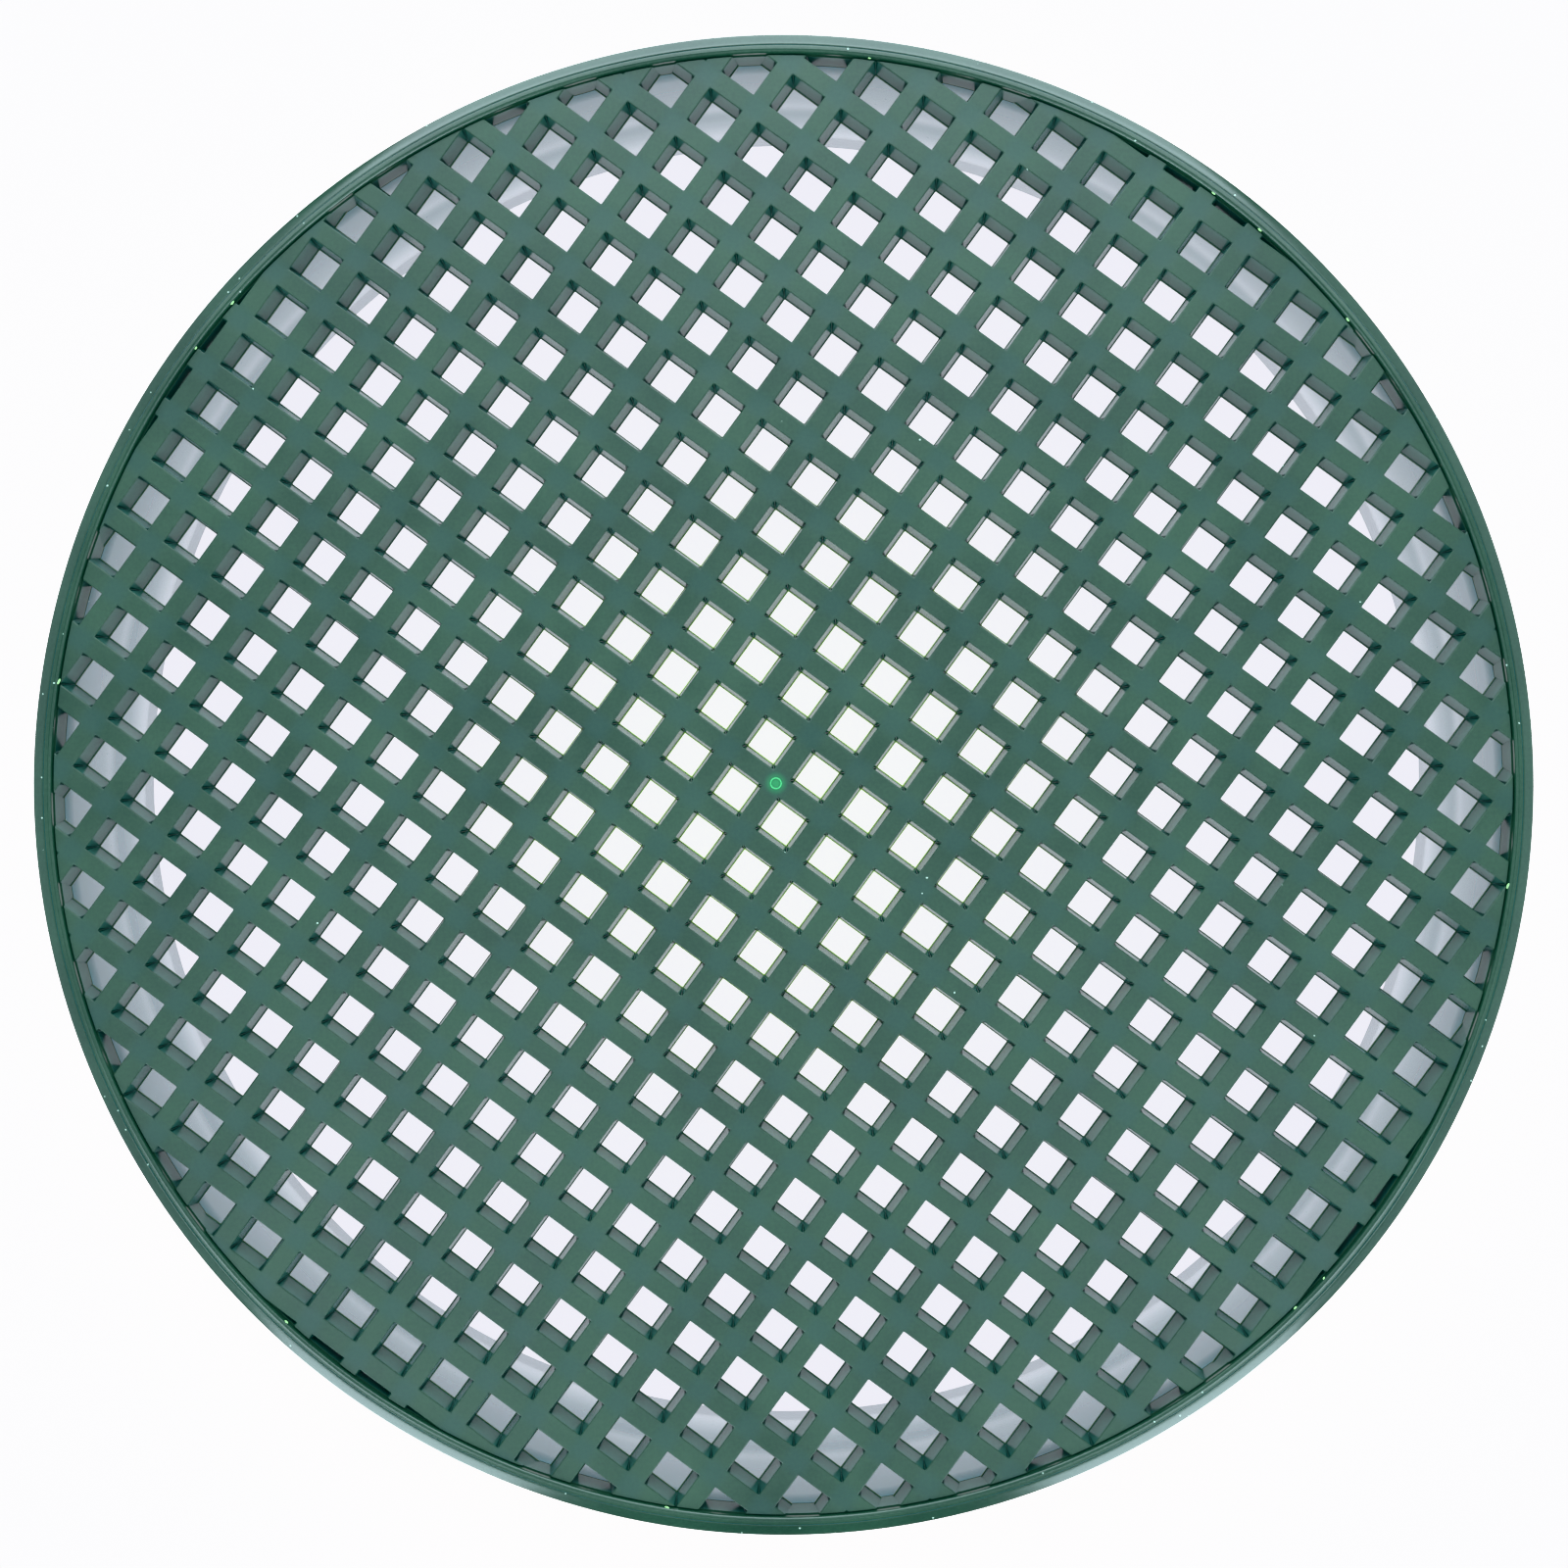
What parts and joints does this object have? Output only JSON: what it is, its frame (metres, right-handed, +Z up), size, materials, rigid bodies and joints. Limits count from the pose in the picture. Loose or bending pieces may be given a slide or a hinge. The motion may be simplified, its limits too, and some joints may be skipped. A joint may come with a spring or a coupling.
{
  "type": "soil sieve",
  "caption": "Round plastic garden sieve: a shallow flared hoop with a turned-over lip, closed at one end by a flat grid of square holes under a thin retaining ring.",
  "frame": {"origin": "centre of the open end, in the plane of the lip's flat face that the sieve rests on when it lies with its grid up", "axes": "+Z up through the middle of the grid; +X and +Y across the sieve; the grid's bars run at -36 and +54 degrees from +X"},
  "size_m": [0.398, 0.398, 0.09],
  "materials": {
    "green_plastic": "semi-gloss moulded"
  },
  "bodies": {
    "root": {"hoop": "green_plastic", "sieve_grid": "green_plastic", "retaining_ring": "green_plastic"}
  },
  "joints": []
}
